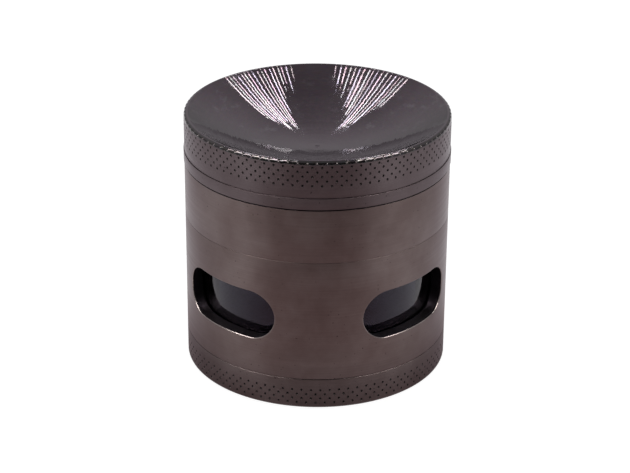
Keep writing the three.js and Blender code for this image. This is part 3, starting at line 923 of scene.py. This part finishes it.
# The bevel's faces get the brighter bevel copy of the gunmetal, a painted highlight.
mark_where(drum, lambda r, z: BODY_R - BEVEL_IN < r < BODY_R - 0.02 and abs(z - WINDOW_Z) < WINDOW_REACH,
           BEVEL)
mark_where(drum, lambda r, z: r < DRUM_BORE_R + 0.9 and abs(z - WINDOW_Z) > WINDOW_REACH, INSIDE)
place(drum, "drum_shell", "drum", "window_drum", "gunmetal",
      [body_metal, cut_metal, inner_shaded_metal, bevel_highlight_metal])
chamber = mark_where(grinding_chamber(), lambda r, z: r < CHAMBER_BORE_R + 0.3, INSIDE)
mark_where(chamber, lambda r, z: r > CHAMBER_BORE_R + 0.3 and z > CHAMBER_TOP - 0.02, CUT)
place(chamber, "chamber_shell", "chamber", "grinding_chamber", "gunmetal",
      [body_metal, cut_metal, inner_shaded_metal])
plate = mark_where(tooth_plate(), lambda r, z: z < CHAMBER_TOP, INSIDE)
mark_where(plate, lambda r, z: r > GROOVE_R and CHAMBER_TOP < z < CHAMBER_TOP + LID_GAP + 0.02, CUT)
place(plate, "lid_plate", "lid", "tooth_plate", "lid_gunmetal", [lid_metal, cut_metal, inner_shaded_metal])
cap = mark_where(concave_cap(), lambda r, z: z > CAP_TOP - RIM_ROUND + 0.05, RIM)
place(cap, "lid_cap", "lid", "concave_cap", "lid_gunmetal", [lid_metal, ticks, dish, pits, rim_metal])
place(hoop("sleeve", SLEEVE_R - RING_W, SLEEVE_R, SLEEVE_LOW, SLEEVE_TOP, 0.2),
      "window_sleeve", "drum", "clear_sleeve", "clear_acrylic", [acrylic])
for node, body in (("sleeve_lower_gasket", "drum_thread"), ("sleeve_upper_gasket", "drum")):
    outer, low, high = extent(node)
    place(hoop(node, outer - RING_W, outer, low, high, 0.35), node + "_ring", body, node, "silicone",
          [silicone])
place(hoop("glide", GROOVE_R + 0.1, GLIDE_R, GLIDE_LOW, GLIDE_TOP, 0.3),
      "glide_ring", "lid_seat", "lid_glide_ring", "nylon", [nylon])
place(magnet("chamber_disc", MAGNET_LOW, MAGNET_TOP), "chamber_disc", "chamber_thread", "chamber_magnet",
      "magnet_nickel", [nickel])
place(magnet("lid_disc", LID_MAGNET_LOW, LID_MAGNET_LOW + 2), "lid_disc", "lid_seat", "lid_magnet",
      "magnet_nickel", [nickel])
place(woven_screen(), "woven_screen", "drum", "screen_mesh", "stainless", [shaded_steel_wire])
place(split_ring(), "spring_ring", "drum", "screen_retaining_ring", "stainless", [shaded_steel_wire])
place(pollen_scraper(), "scraper", "scraper", "pollen_scraper", "scraper_plastic", [black_plastic])


# ---- Studio -------------------------------------------------------------------------------------
CAMERA_OUT = FRONT * math.cos(CAMERA_RISE) + UP * math.sin(CAMERA_RISE)
CAMERA_AIM = RIGHT * AIM_SIDE + UP * AIM_HEIGHT
CAMERA_PLACE = CAMERA_AIM + CAMERA_OUT * CAMERA_DISTANCE
LAMP_DISTANCE = 0.9  # from the lid to the tubes and panels above it
TUBES = 17  # in each fan
TUBE_IMAGE = 0.17  # width of a tube's image on the dish, in millimetres
TUBE_GLOW = 28
# Where each fan's images end on the dish: degrees from the back, and the share of the dish's radius.
FAN_ENDS = {1: ([13, 19.6, 23.5, 29, 43.5, 47.5], [0.90, 0.68, 0.57, 0.32, 0.36, 0.58]),
            -1: ([8.5, 12, 18, 24, 28.5, 40, 43, 46.5], [0.90, 0.85, 0.72, 0.58, 0.36, 0.43, 0.62, 0.74])}
PANEL_GLOW = 19
PANEL_LEANS = (36, 53)  # degrees from the upright of the part of the rim that mirrors the panels


def stage_mesh(name, points, faces, material):
    mesh = bpy.data.meshes.new(name)
    mesh.from_pydata(points, [], faces)
    mesh.materials.append(material)
    made = bpy.data.objects.new(name, mesh)
    bpy.context.scene.collection.objects.link(made)
    return made


def glossy_only(item):
    """Leaves an object to be seen in reflections alone."""
    item.visible_camera = False
    item.visible_diffuse = False
    item.visible_shadow = False
    item.visible_transmission = False


def studio_floor():
    """A plain white table that ends beyond the picture."""
    paint = Paint("studio_floor")
    paint.set(Base_Color=rgba(0.38, 0.38, 0.38), Roughness=0.9, Emission_Color=rgba(1, 1, 1),
              Emission_Strength=0.88)
    paint.shader.inputs["Specular IOR Level"].default_value = 0.0
    size = 4.0
    corners = [(-size, -size, 0), (size, -size, 0), (size, size, 0), (-size, size, 0)]
    stage_mesh("studio_floor", corners, [(0, 1, 2, 3)], paint.material)


def dark_card():
    """What the walls mirror of the table: a brown card in front of the object and the shade round its foot,
    both fading out."""
    paint = Paint("dark_card")
    r = paint.radius()
    aside = paint.math("ARCCOSINE", paint.math("DIVIDE", paint.dot(paint.object, tuple(FRONT)), r))
    narrowed = paint.math("DIVIDE", aside, paint.ramp(r, 0.05, 0.12, 1.2, 1.0))
    card = paint.math("MULTIPLY", paint.smooth(narrowed, math.radians(60), math.radians(20)),
                      paint.smooth(r, 0.032, 0.075))
    shade = paint.math("MULTIPLY", paint.smooth(r, 0.058, 0.034), 0.85)
    colour = paint.mix(paint.smooth(r, 0.06, 0.12), rgba(0.60, 0.42, 0.41), rgba(0.50, 0.43, 0.43))
    colour = paint.mix(paint.smooth(r, 0.062, 0.040), colour, rgba(0.34, 0.26, 0.27))
    glow = paint.node("ShaderNodeEmission", {"Color": colour, "Strength": 1.0}).outputs[0]
    clear = paint.node("ShaderNodeBsdfTransparent").outputs[0]
    cover = paint.math("MAXIMUM", card, shade)
    blend = paint.node("ShaderNodeMixShader", {0: cover, 1: clear, 2: glow}).outputs[0]
    paint.tree.nodes.remove(paint.shader)
    paint.put(paint.tree.nodes["Material Output"].inputs["Surface"], blend)
    count = 96
    points, faces = [], []
    for i in range(count):
        a = 2 * math.pi * i / count
        for reach in (BODY_R * MM, 0.7):
            points.append((reach * math.cos(a), reach * math.sin(a), 0.0004))
        k = (i + 1) % count
        faces.append((2 * i, 2 * i + 1, 2 * k + 1, 2 * k))
    glossy_only(stage_mesh("dark_card", points, faces, paint.material))


def lamp(name, colour, strength):
    """An evenly glowing material."""
    paint = Paint(name)
    paint.set(Base_Color=rgba(0, 0, 0), Emission_Color=rgba(*colour), Emission_Strength=strength)
    return paint.material


def mirrored(radius, z, lean, angle):
    """What the camera sees mirrored at a radius, a height and an angle round the axis, in millimetres, where
    the surface's normal leans outward from the upright: a place LAMP_DISTANCE away along the reflection."""
    way = Vector((math.cos(angle), math.sin(angle), 0))
    place = (way * radius + UP * z) * MM
    normal = UP * math.cos(lean) + way * math.sin(lean)
    ray = (place - CAMERA_PLACE).normalized()
    return place + (ray - 2 * ray.dot(normal) * normal) * LAMP_DISTANCE


def mirrored_in_dish(radius, angle):
    """What the camera sees mirrored at a place in the dish."""
    slope = 2 * DISH_DEPTH * radius / DISH_R**2
    return mirrored(radius, dish_height(radius), -math.atan(slope), angle)


def light_tubes(side, tints, seed):
    """A fan of thin lighting tubes overhead on one side, each mirrored along a radius of the dish."""
    rng = random.Random(seed)
    places, ends = FAN_ENDS[side]
    for k in range(TUBES):
        from_back = places[0] + (places[-1] - places[0]) * k / (TUBES - 1) + rng.uniform(-0.35, 0.35)
        angle = FRONT_ANGLE + math.pi + side * math.radians(from_back)
        inner = float(np.interp(from_back, places, ends)) + rng.choice([-0.03, 0.0, 0.03, 0.1])
        half = TUBE_IMAGE * rng.uniform(0.55, 1.3) / 2
        points, faces = [], []
        steps = 10
        for i in range(steps + 1):
            radius = DISH_R * (inner + (0.97 - inner) * i / steps)
            turn = half / radius
            points += [mirrored_in_dish(radius, angle - turn), mirrored_in_dish(radius, angle + turn)]
            if i:
                faces.append((2 * i - 2, 2 * i - 1, 2 * i + 1, 2 * i))
        glossy_only(stage_mesh("light_tube", points, faces, lamp("tube", tints[k % len(tints)], TUBE_GLOW)))


def fading_lamp(name, colour, strength):
    """A lamp whose light follows its mesh's own fade values."""
    paint = Paint(name)
    fade = paint.node("ShaderNodeAttribute", attribute_name="fade").outputs["Fac"]
    paint.set(Base_Color=rgba(0, 0, 0), Emission_Color=rgba(*colour),
              Emission_Strength=paint.math("MULTIPLY", fade, strength))
    return paint.material


def faded(share, edge):
    """0 at both ends of a span and 1 from an edge's width in, eased."""
    inside = min(1.0, min(share, 1 - share) / edge)
    return inside * inside * (3 - 2 * inside)


def rim_lamp(first, last):
    """A panel above, mirrored by the rounding of the rim between two angles, in degrees from the front. Its
    light fades out towards its edges."""
    points, faces, fades = [], [], []
    across, up = 18, 10
    for i in range(across + 1):
        angle = FRONT_ANGLE + math.radians(first + (last - first) * i / across)
        for j in range(up + 1):
            lean = math.radians(PANEL_LEANS[0] + (PANEL_LEANS[1] - PANEL_LEANS[0]) * j / up)
            radius = BODY_R - RIM_ROUND * (1 - math.sin(lean))
            points.append(mirrored(radius, CAP_TOP - RIM_ROUND * (1 - math.cos(lean)), lean, angle))
            fades.append(faded(i / across, 0.2) * faded(j / up, 0.45))
            if i and j:
                k = len(points) - 1
                faces.append((k, k - 1, k - up - 2, k - up - 1))
    panel = stage_mesh("rim_lamp", points, faces, fading_lamp("rim_lamp", (1, 0.97, 0.94), PANEL_GLOW))
    panel.data.attributes.new("fade", "FLOAT", "POINT").data.foreach_set("value", fades)
    glossy_only(panel)


def studio_world():
    """White all round, dimmer overhead and near the floor, and dark in the room behind the camera."""
    world = bpy.data.worlds.new("studio")
    bpy.context.scene.world = world
    world.use_nodes = True
    world.node_tree.nodes.clear()
    sky = Nodes(world.node_tree)
    way = sky.node("ShaderNodeTexCoord").outputs["Generated"]
    height = sky.parts(way)["Z"]
    overhead = sky.ramp(height, 0.42, 1.0, 1.0, 0.5)
    horizon = sky.ramp(height, 0.1, 0.62, 0.33, 1.0)
    room = sky.ramp(sky.dot(way, tuple(FRONT)), 0.3, 0.8, 1.0, 0.12)
    level = sky.math("MULTIPLY", sky.math("MULTIPLY", overhead, room), horizon)
    seen = sky.node("ShaderNodeLightPath").outputs["Is Camera Ray"]
    shown = sky.node("ShaderNodeMix", {0: seen, 2: level, 3: 1.0}, data_type="FLOAT").outputs[0]
    light = sky.node("ShaderNodeBackground", {"Color": rgba(1, 1, 1), "Strength": shown}).outputs[0]
    sky.node("ShaderNodeOutputWorld", {"Surface": light})


def studio_camera():
    """The photograph's view, from its fitted turn, rise, distance and roll."""
    data = bpy.data.cameras.new("camera")
    data.lens = CAMERA_LENS
    data.sensor_width = 36
    data.clip_start = 0.01
    camera = bpy.data.objects.new("camera", data)
    camera.location = CAMERA_PLACE
    look = (-CAMERA_OUT).to_track_quat("-Z", "Y").to_matrix()
    camera.rotation_euler = (look @ Matrix.Rotation(CAMERA_ROLL, 3, "Z")).to_euler()
    bpy.context.scene.collection.objects.link(camera)
    bpy.context.scene.camera = camera


studio_floor()
studio_world()
dark_card()
light_tubes(1, [(0.95, 1, 0.92), (0.88, 0.98, 1), (1, 0.95, 0.95), (0.88, 1.05, 0.92)], 3)
light_tubes(-1, [(0.95, 1, 0.92), (0.88, 0.98, 1), (1, 0.96, 0.92), (0.88, 1.05, 0.95)], 5)
rim_lamp(-42, -8)
rim_lamp(14, 41)
studio_camera()
bpy.context.scene.view_settings.view_transform = "Standard"
